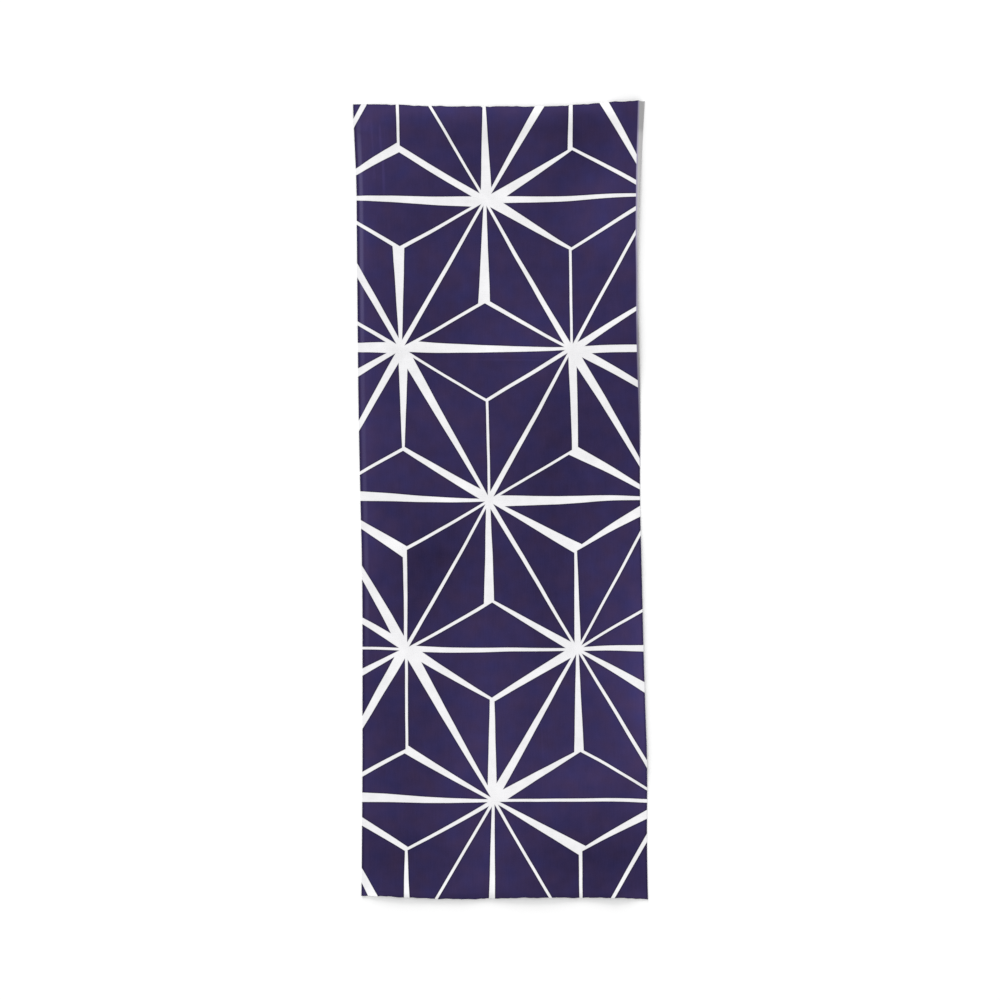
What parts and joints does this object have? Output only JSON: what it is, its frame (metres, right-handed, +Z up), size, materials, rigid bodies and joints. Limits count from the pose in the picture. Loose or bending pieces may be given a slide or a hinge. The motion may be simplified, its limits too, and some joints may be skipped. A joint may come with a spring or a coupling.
{
  "type": "tenugui towel",
  "caption": "Length of thin dyed cotton towel cloth lying face up, hemp-leaf star lattice print, cut ends, soft low ripples and one lifted top corner.",
  "frame": {"origin": "middle of the footprint, on the surface that the cloth lies on", "axes": "+X across the loom width, +Y along the cloth towards its top end, +Z up out of the cloth's face"},
  "size_m": [0.3506, 0.949, 0.0067],
  "materials": {
    "dyed_cotton": "matt plain weave"
  },
  "bodies": {
    "root": {"cloth": "dyed_cotton"}
  },
  "joints": []
}
